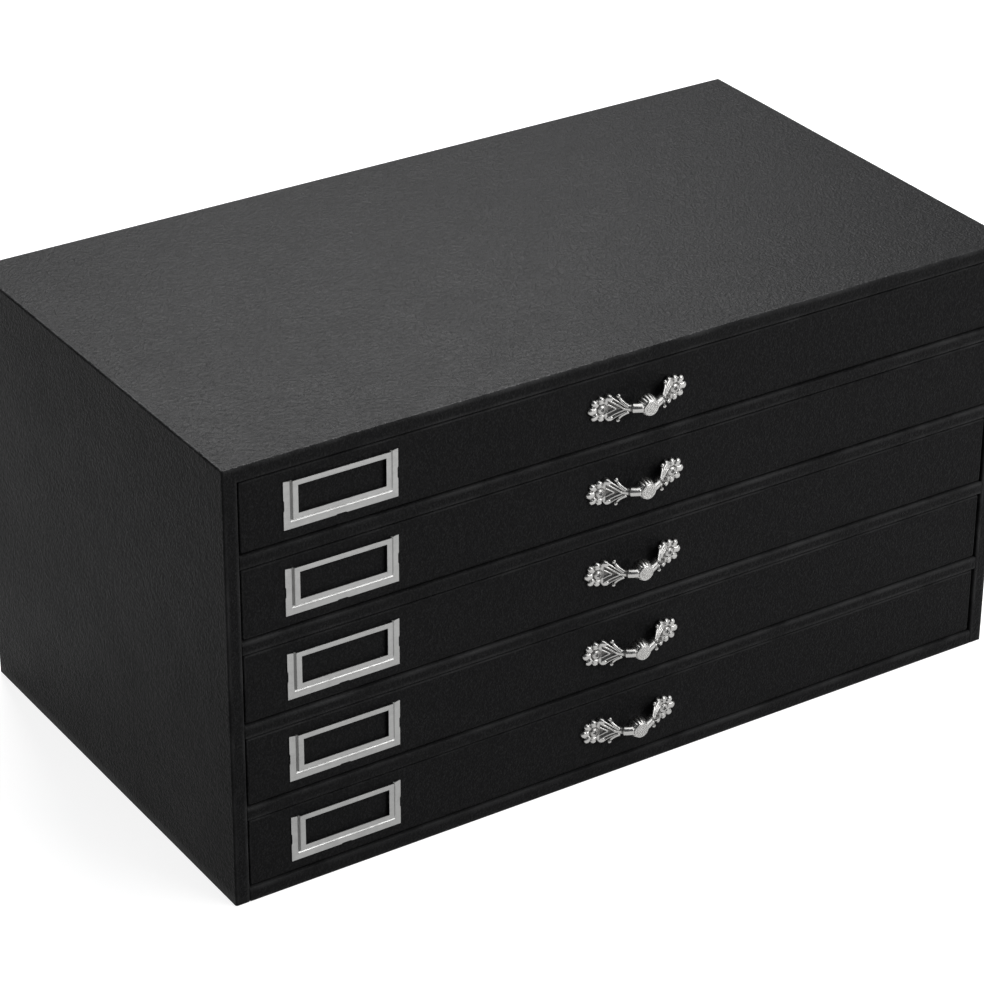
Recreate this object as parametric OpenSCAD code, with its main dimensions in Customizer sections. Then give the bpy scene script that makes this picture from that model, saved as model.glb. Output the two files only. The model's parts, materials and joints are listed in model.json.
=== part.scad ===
// Jewelry storage case: a leatherette-covered box of boards with five drawers,
// each drawer with a cast pull and a stamped label holder.
// Origin at the centre of the base, +Z up, front towards -Y, millimetres.

/* [Case] */
// Overall width of the covered case
case_w = 420; // [340:1:520]
// Overall depth of the covered case
case_d = 232; // [180:1:300]
// Clear height of one drawer bay
bay_h = 35.7; // [33.5:0.1:60]
// Thickness of the top, base and side boards
board_t = 6.5; // [5.5:0.5:10]
// Thickness of each shelf between two drawers
shelf_t = 6; // [4:0.5:10]
// Thickness of the back board
back_t = 4; // [3:0.5:8]
// Thickness of the leatherette cover
cover_t = 0.5; // [0.4:0.1:1]
// Radius of the cover's outer edges
edge_r = 1; // [0.5:0.1:1.3]
// Depth of the rabbets that hold the top, base and back in the sides
rabbet_d = 3; // [2:0.5:4]
// Depth of the grooves that hold the shelves in the sides
housing_d = 2; // [1:0.5:4]

/* [Drawers] */
// Gap around each drawer front
front_gap = 1; // [0.5:0.1:2]
// How far the drawer fronts stand back from the front edges of the case
front_recess = 0.9; // [0:0.1:3]
// Thickness of the drawer front board without its cover
front_t = 7; // [6:0.5:10]
// Thickness of the drawer side and back boards
tray_t = 5; // [4:0.5:8]
// Height of the drawer sides
tray_h = 31; // [24:0.5:33]
// Thickness of the drawer bottom
bottom_t = 3; // [2:0.5:5]
// Depth of the rabbets that hold the bottom in the drawer sides
bottom_rabbet = 2.5; // [1.5:0.5:3.5]
// Running clearance under each drawer
run_clear = 0.3; // [0.1:0.1:0.6]
// Gap between a closed drawer and the back board that stops it
stop_clear = 0.3; // [0.1:0.1:2]
// Thickness of the lining pad
lining_t = 2.5; // [1:0.5:5]
// Gap around the lining pad
lining_clear = 0.4; // [0.1:0.1:1]

/* [Label holders] */
// Width of a label holder over its flanges
holder_w = 56; // [44:1:70]
// Height of a label holder
holder_h = 23; // [18:0.5:30]
// Distance from the left edge of the case to the holder
holder_inset = 28.8; // [15:0.1:80]
// Thickness of the sheet metal
sheet_t = 0.5; // [0.3:0.1:0.7]
// Height of the raised frame above the flange
frame_rise = 0.7; // [0.5:0.1:1.2]
// Width of the flange at the left and right
flange_side = 2.7; // [2:0.1:4]
// Width of the flange at the bottom
flange_low = 3.4; // [2:0.1:5]
// Width of the sloping step between flange and frame
step_run = 0.8; // [0.4:0.1:1.2]
// Width of the frame around the window
frame_w = 2.4; // [1.5:0.1:4]
// Width of each fixing prong
prong_w = 3; // [2:0.1:4]
// Length of each fixing prong behind the flange
prong_len = 3.5; // [2:0.1:5]
// Depth of the nicks that the prongs are bent out of
nick_d = 0.6; // [0.3:0.1:1]

/* [Pulls] */
// Distance between the two screws of a pull
screw_spacing = 39; // [32:0.5:60]
// How far a pull stands out from the drawer front
pull_reach = 12.2; // [11:0.1:16]
// Offset of the pulls from the middle of the case
pull_shift = -2.1; // [-20:0.1:20]
// Height of the pulls above the middle of the drawer fronts
pull_lift = 1.3; // [-3:0.1:3]
// Distance from a screw to the end of the straight bar
leaf_reach = 14; // [13:0.1:15]
// Radius of the thick bar
bar_r = 2.2; // [2:0.1:2.6]
// Radius of the bent arms
arm_r = 1.7; // [1.3:0.1:1.9]
// How far the thick bar runs past the start of each bend
bar_past = 1.6; // [1:0.1:2]
// How far the neck swells over the bent arms
neck_swell = 0.25; // [0.1:0.05:0.6]
// Height of the middle of the bar above the drawer front
bar_z = 8.6; // [7.5:0.1:9.5]
// Radius of the bend at the end of the bar
elbow_r = 6.5; // [5:0.1:8]
// Angle that the bar bends down to the leaf
elbow_angle = 50; // [40:1:60]
// Thickness of the leaf
leaf_t = 1.6; // [1.2:0.1:2.2]
// Half width of the leaf at its widest part behind the petals
leaf_half = 6.1; // [4.5:0.1:7]
// Distance from the screw to the middle of the petals at the tip, measured along the leaf
petal_ring_r = 5.6; // [5:0.1:6]
// Distance from the screw to the middle of the petals at the sides
petal_side_r = 4.1; // [3.8:0.1:4.8]
// Radius of a petal
petal_r = 1.75; // [1.7:0.05:2.2]
// Number of petals on each side of the leaf
petals_each_side = 4; // [3:1:4]
// Angle from one petal to the next
petal_step = 35; // [28:1:36]
// Radius of the rosette under the screw head
rosette_r = 2.6; // [2.3:0.1:3]
// Height of the rosette above the drawer front
rosette_h = 2.1; // [1.9:0.1:2.6]
// Radius of the curled balls at the neck
ball_r = 1; // [0.7:0.1:1.3]
// Distance of the curled balls from the middle of the leaf
ball_spread = 5.9; // [5:0.1:7]
// Distance from the neck out to the curled balls
ball_out = 2.1; // [1:0.1:3]
// Radius of the stems of the curled balls
stem_r = 0.65; // [0.4:0.05:0.9]
// Radius of the drum boss in the middle
drum_r = 3.9; // [3.4:0.1:4.5]
// Length of the drum boss
drum_len = 5.8; // [5:0.1:7]
// Width of the ledge between the flutes and the rim of the drum
rim_step = 0.15; // [0.1:0.05:0.3]
// Length of the bevelled rim at the face of the drum
drum_bevel = 0.8; // [0.3:0.1:1.5]
// How far the rim of the drum tapers in to its face
drum_taper = 0.35; // [0.2:0.05:1]
// Number of flutes around the drum
flutes = 14; // [10:1:20]
// Radius of each flute
flute_r = 0.75; // [0.5:0.05:0.9]

/* [Screws] */
// Radius of the screw shank
screw_r = 1; // [0.8:0.05:1.2]
// Clearance around the screw shank and the prongs
fit_clear = 0.1; // [0.05:0.05:0.2]
// Radius of the screw head
head_r = 1.75; // [1.5:0.05:2.1]
// Height of the screw head
head_h = 0.9; // [0.7:0.1:1.2]
// Width of the cross recess in the screw head
recess_w = 0.45; // [0.3:0.05:0.6]
// Length of the cross recess in the screw head
recess_len = 2.1; // [1.5:0.1:2.6]
// Depth of the cross recess in the screw head
recess_d = 0.45; // [0.3:0.05:0.5]
// Board left behind the screw's point
screw_margin = 1.5; // [1:0.1:3]

/* [Hidden] */
$fn = 48;
drawers = 5;

// The case
bay_w = case_w - 2 * (cover_t + board_t);
roof_z = board_t + drawers * bay_h + (drawers - 1) * shelf_t;
case_h = roof_z + board_t + cover_t;
front_y = -case_d / 2;
board_front = front_y + cover_t;
board_back = case_d / 2 - cover_t;
back_face = board_back - back_t;
// A cover can be rounded no further than its own thickness at the corner allows
cover_r = min(edge_r, 3 * cover_t);
// Spare length of a cut or of a shape that another one trims
over = 2;
// Thickness of the two thin plates that a sloping shape is drawn between
film = 0.001;

// The drawers
front_w = bay_w - 2 * front_gap;
face_y = front_y + front_recess;
core_y = face_y + cover_t;
tray_front = core_y + front_t;
tray_back = back_face - stop_clear;
core_half = front_w / 2 - cover_t;
tray_half = core_half - tray_t;

// The label holders
holder_x = -case_w / 2 + holder_inset + holder_w / 2;
window_x = holder_w / 2 - flange_side - step_run - frame_w;
window_low = -holder_h / 2 + flange_low + step_run + frame_w;
window_high = holder_h / 2 - frame_w;

// The pulls, in their own frame: x along the bar, y up, z out of the drawer front
rosette_x = screw_spacing / 2;
bar_half = rosette_x - leaf_reach;
leaf_mid = leaf_t / 2;
neck_x = bar_half + elbow_r * sin(elbow_angle);
neck_z = bar_z - elbow_r * (1 - cos(elbow_angle));
sweep_r = (neck_z - leaf_mid) / (1 - cos(elbow_angle));
flat_x = neck_x + sweep_r * sin(elbow_angle);
ball_x = neck_x + ball_out;
ball_z = leaf_mid + sweep_r - sqrt(sweep_r * sweep_r - pow(flat_x - ball_x, 2));
screw_deep = cover_t + front_t - screw_margin;

leatherette = [0.11, 0.11, 0.115];
board_black = [0.07, 0.07, 0.07];
lining_black = [0.05, 0.05, 0.055];
antique_silver = [0.78, 0.77, 0.75];
satin_nickel = [0.66, 0.66, 0.66];
screw_silver = [0.72, 0.72, 0.7];

CASE_NODES = concat(
    ["case_top", "case_base", "case_left_side", "case_right_side", "case_back"],
    [for (s = [1 : drawers - 1]) str("case_shelf_", s)],
    ["case_cover"]);
DRAWER_PIECES = ["front", "front_cover", "left_side", "right_side", "back", "bottom", "lining",
    "pull", "pull_screws", "label_holder"];

// Floor of drawer bay n, counted from the top
function bay_floor(n) = board_t + (drawers - n) * (bay_h + shelf_t);
function bay_middle(n) = bay_floor(n) + bay_h / 2;
// Underside, bottom panel's top and upper edge of the drawer box
function tray_low(n) = bay_floor(n) + run_clear;
function tray_deck(n) = tray_low(n) + bottom_t;
function tray_high(n) = tray_low(n) + tray_h;

// Box between two opposite corners
module block(low, high) {
    translate(low) cube(high - low);
}

// Rectangle with round corners, centred
module round_rect(w, h, r) {
    square([w - 2 * r, h], center = true);
    square([w, h - 2 * r], center = true);
    for (x = [-1, 1], y = [-1, 1])
        translate([x * (w / 2 - r), y * (h / 2 - r)]) circle(r);
}

// Box between two corners with all its edges rounded
module round_block(low, high, r) {
    size = high - low;
    translate((low + high) / 2) intersection() {
        linear_extrude(size.z, center = true) round_rect(size.x, size.y, r);
        rotate([90, 0, 0]) linear_extrude(size.y, center = true) round_rect(size.x, size.z, r);
        rotate([90, 0, 90]) linear_extrude(size.x, center = true) round_rect(size.y, size.z, r);
    }
}

// Round rod between two points
module rod(a, b, r) {
    d = b - a;
    translate(a) rotate([0, acos(d.z / norm(d)), atan2(d.y, d.x)]) cylinder(h = norm(d), r = r);
}

// Top board, let into the sides
module case_top() {
    color(board_black)
        block([-bay_w / 2 - rabbet_d, board_front, roof_z],
            [bay_w / 2 + rabbet_d, board_back, roof_z + board_t]);
}

// Base board, let into the sides, which the case stands on
module case_base() {
    color(board_black)
        block([-bay_w / 2 - rabbet_d, board_front, 0], [bay_w / 2 + rabbet_d, board_back, board_t]);
}

// Back board, between top and base and let into the sides
module case_back() {
    color(board_black)
        block([-bay_w / 2 - rabbet_d, back_face, board_t], [bay_w / 2 + rabbet_d, board_back, roof_z]);
}

// Shelf s, under drawer s, housed in the sides
module case_shelf(s) {
    low = bay_floor(s) - shelf_t;
    color(board_black)
        block([-bay_w / 2 - housing_d, board_front, low], [bay_w / 2 + housing_d, back_face, low + shelf_t]);
}

// Side board, cut by the boards that it holds; dir is -1 for the left and 1 for the right
module case_side(dir) {
    inner = dir * bay_w / 2;
    outer = dir * (bay_w / 2 + board_t);
    color(board_black) difference() {
        block([min(inner, outer), board_front, 0], [max(inner, outer), board_back, roof_z + board_t]);
        case_top();
        case_base();
        case_back();
        for (s = [1 : drawers - 1])
            case_shelf(s);
    }
}

// Leatherette over the top, sides, back and front edges, with a window for each drawer
module case_cover() {
    low = [-case_w / 2, front_y, 0];
    high = [case_w / 2, case_d / 2, case_h];
    inside = [cover_t, cover_t, -over];
    color(leatherette) difference() {
        intersection() {
            round_block(low - [0, 0, 2 * cover_r], high, cover_r);
            block(low, high);
        }
        block(low + inside, high - [cover_t, cover_t, cover_t]);
        for (n = [1 : drawers])
            block([-bay_w / 2, front_y - over, bay_floor(n)],
                [bay_w / 2, board_front + over, bay_floor(n) + bay_h]);
    }
}

// Corners of drawer front n without its cover
function core_low(n) = [-core_half, core_y, bay_floor(n) + front_gap + cover_t];
function core_high(n) = [core_half, tray_front, bay_floor(n) + bay_h - front_gap - cover_t];

// Holes through a drawer front for the pull's screws and the holder's prongs
module front_holes(n) {
    pull_place(n)
        for (x = [-rosette_x, rosette_x])
            translate([x, 0, -screw_deep - fit_clear])
                cylinder(h = screw_deep + over, r = screw_r + fit_clear);
    holder_place(n) prongs(fit_clear);
}

// Front board of drawer n
module drawer_front(n) {
    color(board_black) difference() {
        block(core_low(n), core_high(n));
        front_holes(n);
    }
}

// Leatherette over the face and the edges of drawer front n
module drawer_front_cover(n) {
    skin = [cover_t, cover_t, cover_t];
    low = core_low(n) - skin;
    high = [core_high(n).x + cover_t, tray_front, core_high(n).z + cover_t];
    color(leatherette) difference() {
        intersection() {
            round_block(low, high + [0, 2 * cover_r, 0], cover_r);
            block(low, high);
        }
        block(core_low(n), core_high(n) + [0, over, 0]);
        front_holes(n);
    }
}

// Side of drawer n, rabbeted for the bottom
module drawer_side(n, dir) {
    inner = dir * tray_half;
    outer = dir * core_half;
    color(board_black) difference() {
        block([min(inner, outer), tray_front, tray_low(n)], [max(inner, outer), tray_back, tray_high(n)]);
        drawer_bottom(n);
    }
}

// Back of drawer n, standing on the bottom between the sides
module drawer_back(n) {
    color(board_black)
        block([-tray_half, tray_back - tray_t, tray_deck(n)], [tray_half, tray_back, tray_high(n)]);
}

// Bottom panel of drawer n, in the rabbets of the sides
module drawer_bottom(n) {
    half = tray_half + bottom_rabbet;
    color(board_black)
        block([-half, tray_front, tray_low(n)], [half, tray_back, tray_deck(n)]);
}

// Lining pad on the bottom of drawer n
module drawer_lining(n) {
    half = tray_half - lining_clear;
    color(lining_black)
        block([-half, tray_front + lining_clear, tray_deck(n)],
            [half, tray_back - tray_t - lining_clear, tray_deck(n) + lining_t]);
}

// Puts a shape drawn with x along, y up and z outwards on the face of drawer front n
module on_face(n, x, lift) {
    translate([x, face_y, bay_middle(n) + lift]) rotate([90, 0, 0]) children();
}

module pull_place(n) {
    on_face(n, pull_shift, pull_lift) children();
}

module holder_place(n) {
    on_face(n, holder_x, 0) children();
}

// The three prongs bent back from the flange, grown by a clearance
module prongs(grow) {
    size = [prong_w + 2 * grow, sheet_t + 2 * grow, prong_len + grow];
    edge = nick_d + sheet_t / 2;
    translate([0, edge - holder_h / 2, -size.z / 2]) cube(size, center = true);
    for (dir = [-1, 1])
        translate([dir * (holder_w / 2 - edge), 0, -size.z / 2])
            rotate([0, 0, 90]) cube(size, center = true);
}

// Raised part of the label holder: a low pyramid with its top at height z, open upwards
module frame_mound(z) {
    foot = step_run * (z + frame_rise) / frame_rise;
    top_half = holder_w / 2 - flange_side - step_run;
    low = -holder_h / 2 + flange_low + step_run;
    hull() {
        block([-top_half, low, z - film], [top_half, holder_h / 2 + over, z]);
        block([-top_half - foot, low - foot, -frame_rise],
            [top_half + foot, holder_h / 2 + over, film - frame_rise]);
    }
}

// Stamped label holder: flange, raised frame with a window, and prongs
module holder_shape() {
    difference() {
        intersection() {
            union() {
                translate([-holder_w / 2, -holder_h / 2, 0]) cube([holder_w, holder_h, sheet_t]);
                frame_mound(frame_rise + sheet_t);
            }
            translate([-holder_w / 2, -holder_h / 2, 0]) cube([holder_w, holder_h, frame_rise + sheet_t]);
        }
        frame_mound(frame_rise);
        translate([-window_x, window_low, 0]) cube([2 * window_x, window_high - window_low, over]);
        for (dir = [-1, 1])
            translate([dir * holder_w / 2, 0, sheet_t / 2])
                cube([2 * nick_d, prong_w + 2 * nick_d, over], center = true);
        translate([0, -holder_h / 2, sheet_t / 2])
            cube([prong_w + 2 * nick_d, 2 * nick_d, over], center = true);
    }
    prongs(0);
}

module drawer_label_holder(n) {
    color(satin_nickel) holder_place(n) holder_shape();
}

// Outline of one leaf seen from the front: a fan of petals and a body that narrows to the neck
module leaf_outline() {
    for (i = [0 : petals_each_side - 1], dir = [-1, 1]) {
        turn = (i + 1 / 2) * petal_step;
        translate([rosette_x + petal_ring_r * cos(turn), dir * petal_side_r * sin(turn)]) circle(petal_r);
    }
    translate([rosette_x, 0]) circle(petal_side_r);
    polygon([[neck_x, arm_r], [rosette_x - rosette_r, leaf_half], [rosette_x, petal_side_r],
        [rosette_x, -petal_side_r], [rosette_x - rosette_r, -leaf_half], [neck_x, -arm_r]]);
}

// Side view of the leaf's plate: flat on the drawer front at its tip, then swept up to the neck
module leaf_profile(reach) {
    far = 2 * sweep_r;
    translate([flat_x, 0]) square([reach - flat_x, leaf_t]);
    translate([flat_x, leaf_mid + sweep_r]) intersection() {
        difference() {
            circle(sweep_r + leaf_mid);
            circle(sweep_r - leaf_mid);
        }
        polygon([[0, 0], [0, -far], [-far * tan(elbow_angle), -far]]);
    }
}

// Plate of the leaf, trimmed to its outline
module leaf_plate() {
    half = petal_ring_r + petal_r + over;
    intersection() {
        translate([0, 0, -over]) linear_extrude(over + neck_z + leaf_t) leaf_outline();
        rotate([90, 0, 0]) linear_extrude(2 * half, center = true) leaf_profile(rosette_x + half);
    }
}

// Bend from the end of the bar down to the leaf, with the neck and its two curled balls
module pull_arm() {
    translate([bar_half, 0, bar_z - elbow_r]) rotate([90, 0, 0]) rotate([0, 0, 90 - elbow_angle])
        rotate_extrude(angle = elbow_angle) translate([elbow_r, 0]) circle(arm_r);
    translate([neck_x, 0, neck_z]) sphere(arm_r + neck_swell);
    for (dir = [-1, 1]) {
        ball = [ball_x, dir * ball_spread, ball_z];
        translate(ball) sphere(ball_r);
        rod([neck_x, dir * arm_r / 2, neck_z], ball, stem_r);
    }
}

// One half of the pull: arm, leaf and rosette
module pull_half() {
    pull_arm();
    leaf_plate();
    translate([rosette_x, 0, 0]) cylinder(h = rosette_h, r = rosette_r);
}

// Fluted drum boss with a bevelled rim around its face
module pull_drum() {
    rim_r = drum_r - rim_step;
    rim_z = drum_len - drum_bevel;
    translate([0, 0, pull_reach - drum_len]) {
        linear_extrude(rim_z) {
            circle(drum_r);
            for (i = [0 : flutes - 1])
                rotate(i * 360 / flutes) translate([drum_r, 0]) circle(flute_r);
        }
        rotate_extrude()
            polygon([[0, rim_z - over], [rim_r, rim_z - over], [rim_r, rim_z],
                [rim_r - drum_taper, drum_len], [0, drum_len]]);
    }
}

// Cast pull of drawer n
module drawer_pull(n) {
    color(antique_silver) pull_place(n) difference() {
        union() {
            rod([-bar_half - bar_past, 0, bar_z], [bar_half + bar_past, 0, bar_z], bar_r);
            pull_half();
            mirror([1, 0, 0]) pull_half();
            pull_drum();
        }
        for (x = [-rosette_x, rosette_x]) {
            translate([x, 0, -over]) cylinder(h = rosette_h + 2 * over, r = screw_r + fit_clear);
            translate([x, 0, rosette_h]) cylinder(h = neck_z, r = head_r + fit_clear);
        }
    }
}

// The two screws that hold the pull of drawer n
module drawer_pull_screws(n) {
    dome_r = (head_r * head_r + head_h * head_h) / (2 * head_h);
    color(screw_silver) pull_place(n)
        for (x = [-rosette_x, rosette_x])
            translate([x, 0, rosette_h]) difference() {
                union() {
                    translate([0, 0, -rosette_h - screw_deep])
                        cylinder(h = rosette_h + screw_deep, r = screw_r);
                    intersection() {
                        translate([0, 0, head_h - dome_r]) sphere(dome_r);
                        cylinder(h = head_h, r = head_r);
                    }
                }
                for (turn = [0, 90])
                    rotate(turn) translate([0, 0, head_h])
                        cube([recess_len, recess_w, 2 * recess_d], center = true);
            }
}

case_top();
case_base();
case_side(-1);  // case_left_side
case_side(1);  // case_right_side
case_back();
for (s = [1 : drawers - 1])
    case_shelf(s);
case_cover();
for (n = [1 : drawers]) {
    d = str("drawer_", n, "_");
    drawer_front(n);
    drawer_front_cover(n);
    drawer_side(n, -1);
    drawer_side(n, 1);
    drawer_back(n);
    drawer_bottom(n);
    drawer_lining(n);
    drawer_pull(n);
    drawer_pull_screws(n);
    drawer_label_holder(n);
}
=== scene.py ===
import json
import math

import bmesh
import bpy
import numpy as np
from mathutils import Matrix, Vector

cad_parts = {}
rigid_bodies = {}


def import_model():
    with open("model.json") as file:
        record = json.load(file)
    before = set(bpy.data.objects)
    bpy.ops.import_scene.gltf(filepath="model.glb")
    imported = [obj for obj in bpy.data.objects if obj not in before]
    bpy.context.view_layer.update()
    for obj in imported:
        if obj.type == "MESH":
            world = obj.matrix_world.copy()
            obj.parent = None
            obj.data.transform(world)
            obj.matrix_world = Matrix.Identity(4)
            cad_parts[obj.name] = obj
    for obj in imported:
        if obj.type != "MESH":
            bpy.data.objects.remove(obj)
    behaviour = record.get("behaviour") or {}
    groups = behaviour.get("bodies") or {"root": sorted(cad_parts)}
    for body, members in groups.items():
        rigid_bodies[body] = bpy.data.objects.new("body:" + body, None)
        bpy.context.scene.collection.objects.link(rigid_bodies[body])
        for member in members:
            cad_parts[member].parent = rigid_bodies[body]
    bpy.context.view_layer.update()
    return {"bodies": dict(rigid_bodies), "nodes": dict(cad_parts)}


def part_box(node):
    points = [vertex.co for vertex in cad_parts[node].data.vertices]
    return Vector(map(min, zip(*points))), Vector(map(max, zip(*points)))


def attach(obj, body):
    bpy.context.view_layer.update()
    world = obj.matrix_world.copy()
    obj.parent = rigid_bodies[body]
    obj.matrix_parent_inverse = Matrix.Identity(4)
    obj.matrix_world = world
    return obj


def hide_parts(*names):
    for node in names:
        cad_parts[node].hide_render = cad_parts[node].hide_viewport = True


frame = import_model()


# Camera: a long lens in front of the case, to its left and above it, so that the edges of the case
# run through the picture as they do in the photograph.

mm = 0.001
picture_px = 984
focal_px = 3612.3
sensor_w = 36.0
azimuth, elevation, roll = np.radians([-33.2236, 28.9385, 0.4162])
eye_distance = 1711.3 * mm
eye_right = -1.84 * mm
eye_up = -15.23 * mm

case_low, case_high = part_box("case_cover")
case_middle = (case_low + case_high) / 2
back = Vector((math.sin(azimuth) * math.cos(elevation),
               -math.cos(azimuth) * math.cos(elevation),
               math.sin(elevation)))
level = Vector((math.cos(azimuth), math.sin(azimuth), 0.0))
upright = back.cross(level)
right = level * math.cos(roll) + upright * math.sin(roll)
up = upright * math.cos(roll) - level * math.sin(roll)

scene = bpy.context.scene
scene.view_settings.view_transform = "Standard"
camera = bpy.data.objects.new("camera", bpy.data.cameras.new("camera"))
camera.data.sensor_width = sensor_w
camera.data.lens = focal_px / picture_px * sensor_w
camera.matrix_world = Matrix((right, up, back)).transposed().to_4x4()
camera.matrix_world.translation = case_middle + back * eye_distance + right * eye_right + up * eye_up
scene.collection.objects.link(camera)
scene.camera = camera


# Stage: a sheet of white paper that runs past the picture on all sides, under a broad soft lamp above,
# a narrow one behind, one in front and one beside the case on the right, in a plain grey room.

paper_half = 7.0
paper_color = (0.3, 0.3, 0.3, 1.0)
paper_lift = 0.87
paper_drop = 0.3 * mm
room_color = (0.93, 0.96, 1.0, 1.0)
room_level = 0.12


def add_node(tree, kind, inputs=None, **settings):
    """One shader node: settings are its own choices, inputs are numbers, colours or links by socket."""
    made = tree.nodes.new("ShaderNode" + kind)
    for name, value in settings.items():
        setattr(made, name, value)
    for name, value in (inputs or {}).items():
        if isinstance(value, bpy.types.NodeSocket):
            tree.links.new(value, made.inputs[name])
        else:
            made.inputs[name].default_value = value
    return made


def new_material(name):
    """An empty material, with its node tree and its output node."""
    material = bpy.data.materials.new(name)
    material.use_nodes = True
    material.node_tree.nodes.clear()
    output = material.node_tree.nodes.new("ShaderNodeOutputMaterial")
    return material, material.node_tree, output


def math_node(tree, operation, first, second):
    """The result of one sum, product or comparison of two values."""
    return add_node(tree, "Math", {0: first, 1: second}, operation=operation).outputs[0]


def paint(piece, material):
    """Gives a piece its one material."""
    piece.data.materials.clear()
    piece.data.materials.append(material)


def white_paper():
    """Matt paper that shows a little whiter to the eye and in metal, and still takes a shadow."""
    material, tree, output = new_material("white_paper")
    ray = add_node(tree, "LightPath").outputs
    seen = math_node(tree, "MAXIMUM", ray["Is Camera Ray"], ray["Is Glossy Ray"])
    seen = math_node(tree, "MAXIMUM", seen, ray["Is Transmission Ray"])
    lift = math_node(tree, "MULTIPLY", seen, paper_lift)
    matt = add_node(tree, "BsdfDiffuse", {"Color": paper_color}).outputs[0]
    glow = add_node(tree, "Emission", {"Strength": lift}).outputs[0]
    both = add_node(tree, "AddShader", {0: matt, 1: glow}).outputs[0]
    tree.links.new(both, output.inputs["Surface"])
    return material


paper_mesh = bpy.data.meshes.new("paper")
paper_corners = np.array([[-1, -1], [1, -1], [1, 1], [-1, 1]]) * paper_half
paper_mesh.from_pydata([(x, y, -paper_drop) for x, y in paper_corners], [], [(0, 1, 2, 3)])
paper = bpy.data.objects.new("paper", paper_mesh)
scene.collection.objects.link(paper)
paint(paper, white_paper())


def soft_lamp(name, place, aim, width, height, power):
    """A rectangular soft lamp at one point that shines towards another."""
    lamp = bpy.data.objects.new(name, bpy.data.lights.new(name, "AREA"))
    lamp.data.shape = "RECTANGLE"
    lamp.data.size, lamp.data.size_y = width, height
    lamp.data.energy = power
    lamp.matrix_world = Vector(np.subtract(place, aim)).to_track_quat("Z", "Y").to_matrix().to_4x4()
    lamp.matrix_world.translation = place
    scene.collection.objects.link(lamp)


soft_lamp("overhead_lamp", (0.35, -0.35, 1.4), (0.25, -0.35, 0.15), 2.0, 1.1, 15.5)
soft_lamp("back_lamp", (0.28, 0.68, 0.8), (0.0, 0.0, 0.15), 0.75, 0.25, 19.0)
soft_lamp("front_lamp", (0.8, -1.5, 0.9), (0.0, 0.0, 0.1), 1.0, 0.8, 18.0)
soft_lamp("side_lamp", (1.4, -0.1, 0.75), (0.0, 0.0, 0.15), 1.2, 0.8, 7.0)

scene.world = bpy.data.worlds.new("room")
scene.world.use_nodes = True
room = scene.world.node_tree.nodes["Background"]
room.inputs["Color"].default_value = room_color
room.inputs["Strength"].default_value = room_level


# Case boards: thin boards dyed black, the top, base and back let into the sides and the shelves
# housed in them. They show inside the drawer bays and on the underside.

board_dark = (0.010, 0.010, 0.010, 1.0)
board_light = (0.026, 0.024, 0.023, 1.0)
board_rough = (0.74, 0.56)
board_gloss = 0.3
board_patches = 14.0
fibre_along = (9.0, 9.0, 240.0)
fibre_scale = 6.0
speck_scale = 1400.0
board_bump = 0.04 * mm
marks_finer = 6.0
marks_range = (0.12, 0.42)


def new_group(name, inputs, outputs):
    """An empty shader node group with the named sockets, and its input and output nodes."""
    group = bpy.data.node_groups.new(name, "ShaderNodeTree")
    for socket, kind in inputs.items():
        group.interface.new_socket(socket, in_out="INPUT", socket_type="NodeSocket" + kind)
    for socket in outputs:
        group.interface.new_socket(socket, in_out="OUTPUT", socket_type="NodeSocketFloat")
    return group, group.nodes.new("NodeGroupInput").outputs, group.nodes.new("NodeGroupOutput").inputs


def use_group(tree, group, inputs):
    """Places a node group in a material with its own values."""
    return add_node(tree, "Group", inputs, node_tree=group).outputs


def remap(tree, value, low, high, to_low, to_high, smooth=False):
    """A value carried from one range to another and held at its ends."""
    shape = "SMOOTHSTEP" if smooth else "LINEAR"
    inputs = {"Value": value, "From Min": low, "From Max": high, "To Min": to_low, "To Max": to_high}
    return add_node(tree, "MapRange", inputs, interpolation_type=shape).outputs["Result"]


def mix_colors(tree, share, first, second):
    """A colour between two colours, by a share from 0 to 1."""
    return add_node(tree, "Mix", {0: share, 6: first, 7: second}, data_type="RGBA").outputs[2]


def shade(tree, output, color, rough, height, depth, fixed):
    """The material's Principled shader: its colour, roughness and a bump of the given depth vary over the
    piece, and the other inputs are fixed."""
    bump = add_node(tree, "Bump", {"Height": height, "Distance": depth}).outputs["Normal"]
    inputs = {"Base Color": color, "Roughness": rough, "Normal": bump} | fixed
    body = add_node(tree, "BsdfPrincipled", inputs)
    tree.links.new(body.outputs[0], output.inputs["Surface"])


def cloudy_marks():
    """Soft patches where hands and cloths have passed: broad noise broken up by finer noise."""
    group, given, result = new_group("cloudy_marks", {"Vector": "Vector", "Patches": "Float"}, ["Mask"])
    broad = add_node(group, "TexNoise", {"Vector": given["Vector"], "Scale": given["Patches"], "Detail": 3.0})
    finer = math_node(group, "MULTIPLY", given["Patches"], marks_finer)
    fine = add_node(group, "TexNoise", {"Vector": given["Vector"], "Scale": finer, "Detail": 2.0})
    both = math_node(group, "MULTIPLY", broad.outputs["Fac"], fine.outputs["Fac"])
    group.links.new(remap(group, both, *marks_range, 0.0, 1.0, True), result["Mask"])
    return group


marks = cloudy_marks()


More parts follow.
